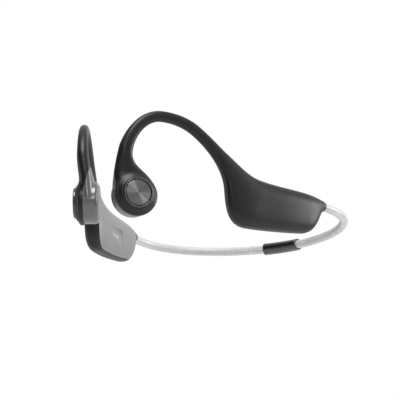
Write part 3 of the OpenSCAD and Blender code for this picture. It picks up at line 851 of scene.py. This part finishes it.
BEZEL_PROFILE = [
    (LIP_R, BEZEL_FACE - 0.25), (LIP_R + 0.2, BEZEL_FACE), (BEZEL_R - 0.3, BEZEL_FACE),
    (BEZEL_R, BEZEL_FACE - 0.3), (BEZEL_R, 1.0), (SKIRT_R + SLIDE_GAP, 1.0),
    (SKIRT_R + SLIDE_GAP, BEZEL_FACE - 1.1), (LIP_R, BEZEL_FACE - 1.1),
]
CAP_PROFILE = [
    (0, BEZEL_FACE - 0.35), (CAP_R - 0.3, BEZEL_FACE - 0.1), (CAP_R, BEZEL_FACE - 0.35),
    (CAP_R, BEZEL_FACE - 1.1 - SLIDE_GAP), (SKIRT_R, BEZEL_FACE - 1.1 - SLIDE_GAP),
    (SKIRT_R, BEZEL_FACE - 1.6), (1.0, BEZEL_FACE - 1.6), (1.0, NUB_TOP + CAP_TRAVEL + 0.05),
    (0, NUB_TOP + CAP_TRAVEL + 0.05),
]


def make_heads():
    for side in SIDES:
        pad = head_piece(side, "skin_face", "skin_silicone", "unit", "skin_pad", PAD_PROFILE, 0.2)
        head_piece(side, "bezel", "bezel", "unit", "bezel_ring", BEZEL_PROFILE, 0.1)
        head_piece(side, "cap", "cap_metal", "button", "metal_cap", CAP_PROFILE, 0.08)


def make_drums(neck):
    """Drum of the head with its neck, which follows the casing up the hook."""
    cup = moved(turned(rounded(DRUM_PROFILE, 0.15)), HEAD_FRAME)
    cut(neck, cup, "UNION")
    neck.name = "left_drum"
    twin = mirrored(neck, "right_drum")
    for side, obj in zip(SIDES, (neck, twin)):
        placed(obj, "drum", side + "_unit", [side + "_head_drum"], 0.5, 28)


def make_dock_pins():
    profile = rounded([(0, -0.75), (0.4, -0.75), (0.4, 0.85), (0, 0.85)], 0.12)
    pins = joined(*(moved(turned(profile, 32), pin_frame(i, -HALF_T + PIN_SINK))
                    for i in range(DOCK_PINS)))
    left = fresh("pins", pins)
    right = mirrored(left, "dock_pins")
    bpy.data.objects.remove(left)
    placed(right, "contact_metal", "right_unit", ["dock_contacts"])


# --- band ---------------------------------------------------------------------------------

BAND_CURVE = [
    (EXIT_SPAN / 2, EXIT_Y, EXIT_HEIGHT + SPOUT_Z),
    (EXIT_SPAN / 2 + 5.9, EXIT_Y + 0.652 * BAND_DEPTH, EXIT_HEIGHT - 1.8),
    (EXIT_SPAN / 2 - 28.5, EXIT_Y + BAND_DEPTH, EXIT_HEIGHT - BAND_SAG - 0.2),
    (0, EXIT_Y + BAND_DEPTH, EXIT_HEIGHT - BAND_SAG),
]


FLEX_START, FLEX_END = 0.86, 0.04


def band_at(u):
    if u < 0:
        p = plan(-u)
        return np.array([p[0], p[1], EXIT_HEIGHT + SPOUT_Z])
    return bezier(BAND_CURVE, u)


def band_ring(u, lift, half_a, half_z, steps):
    if u < 0:
        way = -np.append(ahead(toe(-u)), 0)
    else:
        way = band_at(u + 0.01) - band_at(u - 0.01)
        way /= np.linalg.norm(way)
    across = np.array([way[1], -way[0], 0]) / math.hypot(way[0], way[1])
    p = band_at(u) + np.array([0, 0, lift])
    angles = [2 * math.pi * (j + 0.5) / steps for j in range(steps)]
    return [p + half_a * math.cos(a) * across + half_z * math.sin(a) * np.array([0, 0, 1])
            for a in angles]


def band_rod(inlet, lift, half_a, half_z, steps, far):
    stations = list(np.linspace(-inlet, -0.3, max(3, int(inlet)))) + list(np.linspace(0, far, 120))
    return loft([band_ring(u, lift, half_a, half_z, steps) for u in stations])


def mark_cores(mesh):
    """Vertex attribute that is high on the band's flanks where the wire and the cable lie."""
    co, _ = mesh_arrays(mesh)
    curve = np.array([band_at(u) for u in np.linspace(0, 1, 400)])
    centre_z = np.array([curve[np.argmin(((curve[:, :2] - p[:2]) ** 2).sum(1)), 2] for p in co])
    height = co[:, 2] - centre_z
    lines = (np.exp(-((height - WIRE_UP - 0.15) / 0.30) ** 2)
             + np.exp(-((height + CABLE_DOWN + 0.15) / 0.28) ** 2))
    layer = mesh.attributes.new("core", "FLOAT", "POINT")
    layer.data.foreach_set("value", np.clip(lines, 0, 1).astype(np.float32))


def flexing(side, obj, slot, node, wear=0.5):
    """Finishes a piece of the band and bakes its place into its mesh."""
    add_wear(obj.data, wear)
    smooth_shaded(obj, 40)
    obj.data.transform(Matrix.Scale(MM, 4))
    dressed(obj, slot)
    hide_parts(side + "_" + node)
    sign = 1 if side == "left" else -1
    start, end = band_at(FLEX_START) * MM, band_at(FLEX_END) * MM
    start[0] *= sign
    end[0] *= sign
    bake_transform(obj)


def make_band():
    tube = fresh("left_band_tube", band_rod(BAND_IN, 0, BAND_D / 2, BAND_D / 2, 48, 0.95))
    cut(tube, band_rod(BAND_IN + 2, 0, DUCT_THIN, DUCT_HALF, 24, 0.96))
    mark_cores(tube.data)
    wire = fresh("left_spring_wire", band_rod(ANCHOR_REAR_S - 0.4, WIRE_UP, WIRE_D / 2,
                                              WIRE_D / 2, 20, 0.994))
    cable = fresh("left_band_lead", band_rod(BAND_IN + 4, -CABLE_DOWN, CABLE_D / 2,
                                             CABLE_D / 2, 20, 0.994))
    rows = [(tube, "band_tube", "band_silicone", "band"),
            (wire, "spring_wire", "titanium", "band_wire"),
            (cable, "band_lead", "cable_jacket", "band_cable")]
    for obj, name, slot, node in rows:
        twin = mirrored(obj, "right_" + name)
        flexing("left", obj, slot, node)
        flexing("right", twin, slot, node)


SLEEVE_CURVE = 1.5 * BAND_CURVE[2][0] ** 2 / (BAND_CURVE[3][1] - BAND_CURVE[1][1])


def make_sleeve():
    """Glossy tube along the band's middle, with rounded lips."""
    half = SLEEVE_LEN / 2
    outer, inner, lip = SLEEVE_D / 2, BAND_D / 2 + 0.3, 0.22
    arc = np.linspace(0, math.pi / 2, 6)
    outline = [(outer - lip + lip * math.cos(a), half - lip + lip * math.sin(a)) for a in arc]
    outline += [(inner + 0.15, half), (inner, half - 0.15)]
    outline += [(r, -h) for r, h in reversed(outline)]
    fine = []
    for i, (r, h) in enumerate(outline):
        nr, nh = outline[(i + 1) % len(outline)]
        pieces = max(1, int(abs(nh - h) / 0.5))
        fine += [(r + (nr - r) * k / pieces, h + (nh - h) * k / pieces) for k in range(pieces)]
    verts, faces = turned(fine, 72)
    middle = np.array([0, EXIT_Y + BAND_DEPTH - SLEEVE_CURVE, EXIT_HEIGHT - BAND_SAG])
    bent = []
    for x, y, z in verts:
        a, r = z / SLEEVE_CURVE, SLEEVE_CURVE + y
        bent.append((middle[0] + r * math.sin(a), middle[1] + r * math.cos(a), middle[2] + x))
    placed(fresh("sleeve_tube", (bent, faces)), "sleeve", "neckband", ["centre_sleeve"])


# --- carried-over CAD nodes ---------------------------------------------------------------

KEPT_SLOTS = {
    "switch_board": "circuit_board", "magnet_yoke": "steel", "magnet": "magnet_plating",
    "pole_plate": "steel", "voice_coil": "copper", "spring_plate": "spring_steel",
    "hook_wire": "titanium", "hook_cable": "cable_jacket", "band_plug": "plug_plastic",
    "wire_anchors": "anchor_metal", "microphone": "microphone_can",
}
SINGLE_SLOTS = {
    "battery": "battery_wrap", "battery_board": "circuit_board", "main_board": "circuit_board",
    "dock_magnets": "magnet_plating", "wire_crimp": "anchor_metal",
}


def dress_nodes():
    """Gives the inner CAD pieces their materials."""
    wanted = {side + "_" + k: v for side in SIDES for k, v in KEPT_SLOTS.items()}
    wanted.update(SINGLE_SLOTS)
    for node, slot in wanted.items():
        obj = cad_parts[node]
        obj.data.materials.clear()
        obj.data.materials.append(MATERIALS[slot])


# --- studio -------------------------------------------------------------------------------

LOOK_AT = Vector((0.03065, EXIT_Y * MM - 0.06169, 0.00917))
TOWARD_CAMERA = Vector((0.57316, -0.78600, -0.23175)).normalized()
CAMERA_DISTANCE = 1.164
FOCAL_LENGTH = 256.2
FLOOR_Z, FLOOR_HALF = -0.42, 4.0
LIT_POINT, LIGHT_DISTANCE = Vector((0, 0, 0.02)), 1.3


def make_camera():
    lens = bpy.data.cameras.new("camera")
    lens.lens = FOCAL_LENGTH
    lens.sensor_width = 36
    lens.clip_start = 0.05
    camera = bpy.data.objects.new("camera", lens)
    camera.location = LOOK_AT + CAMERA_DISTANCE * TOWARD_CAMERA
    camera.rotation_euler = TOWARD_CAMERA.to_track_quat("Z", "Y").to_euler()
    bpy.context.scene.collection.objects.link(camera)
    bpy.context.scene.camera = camera


def area_light(name, direction, size, power):
    """Soft light that faces the object from a direction."""
    lamp = bpy.data.lights.new(name, "AREA")
    lamp.shape = "RECTANGLE"
    lamp.size, lamp.size_y = size
    lamp.energy = power
    obj = bpy.data.objects.new(name, lamp)
    way = Vector(direction).normalized()
    obj.location = LIT_POINT + LIGHT_DISTANCE * way
    obj.rotation_euler = way.to_track_quat("Z", "Y").to_euler()
    obj.visible_camera = False
    bpy.context.scene.collection.objects.link(obj)


def make_floor():
    half = FLOOR_HALF
    mesh = bpy.data.meshes.new("floor")
    mesh.from_pydata([(-half, -half, 0), (half, -half, 0), (half, half, 0), (-half, half, 0)],
                     [], [(0, 1, 2, 3)])
    floor = bpy.data.objects.new("floor", mesh)
    floor.location = (0, 0, FLOOR_Z)
    bpy.context.scene.collection.objects.link(floor)
    f = Finish("floor_paint")
    f.paint("Base Color", f.mix(f.noise(300, 2), grey(0.86), grey(0.9)))
    f.paint("Roughness", f.span(f.noise(40, 3), 0.7, 0.9))
    mesh.materials.append(f.mat)


WORLD_DARK, WORLD_BRIGHT = 0.02, 0.9
WORLD_FROM, WORLD_TO = -0.6, 0.8
STEEP_SHARE = 0.45
BRIGHT_SIDE = Vector((0.45, 0.80, 0.38)).normalized()


def make_world():
    """White surroundings to the camera, which light the object mostly from behind and above."""
    world = bpy.data.worlds.new("studio")
    bpy.context.scene.world = world
    world.use_nodes = True
    tree = world.node_tree
    nodes, links = tree.nodes, tree.links
    back = nodes["Background"]
    where = nodes.new("ShaderNodeTexCoord")
    dot = nodes.new("ShaderNodeVectorMath")
    dot.operation = "DOT_PRODUCT"
    dot.inputs[1].default_value = BRIGHT_SIDE
    links.new(where.outputs["Generated"], dot.inputs[0])
    split = nodes.new("ShaderNodeSeparateXYZ")
    links.new(where.outputs["Generated"], split.inputs[0])
    steep = nodes.new("ShaderNodeMath")
    steep.operation = "POWER"
    links.new(split.outputs["Z"], steep.inputs[0])
    steep.inputs[1].default_value = 2
    both = nodes.new("ShaderNodeMath")
    both.operation = "MULTIPLY_ADD"
    links.new(steep.outputs[0], both.inputs[0])
    both.inputs[1].default_value = STEEP_SHARE
    links.new(dot.outputs["Value"], both.inputs[2])
    ramp = nodes.new("ShaderNodeMapRange")
    ramp.interpolation_type = "SMOOTHSTEP"
    ramp.inputs["From Min"].default_value = WORLD_FROM
    ramp.inputs["From Max"].default_value = WORLD_TO
    ramp.inputs["To Min"].default_value = WORLD_DARK
    ramp.inputs["To Max"].default_value = WORLD_BRIGHT
    links.new(both.outputs[0], ramp.inputs["Value"])
    path = nodes.new("ShaderNodeLightPath")
    pick = nodes.new("ShaderNodeMix")
    pick.data_type = "FLOAT"
    links.new(path.outputs["Is Camera Ray"], pick.inputs["Factor"])
    links.new(ramp.outputs["Result"], pick.inputs[2])
    pick.inputs[3].default_value = 1.0
    links.new(pick.outputs[0], back.inputs["Strength"])
    back.inputs["Color"].default_value = (1, 1, 1, 1)


def make_studio():
    bpy.context.scene.view_settings.view_transform = "Standard"
    make_camera()
    make_world()
    make_floor()
    area_light("top", (0.25, -0.45, 0.86), (0.7, 0.7), 19)
    area_light("front", (0.50, -0.80, 0.30), (0.3, 0.3), 2.5)
    area_light("side", (0.72, 0.66, 0.20), (0.6, 0.8), 11)
    area_light("left", (-0.95, -0.15, 0.05), (0.2, 0.8), 1.5)


make_studio()
make_casings()
make_heads()
make_dock_pins()
make_band()
make_sleeve()
dress_nodes()
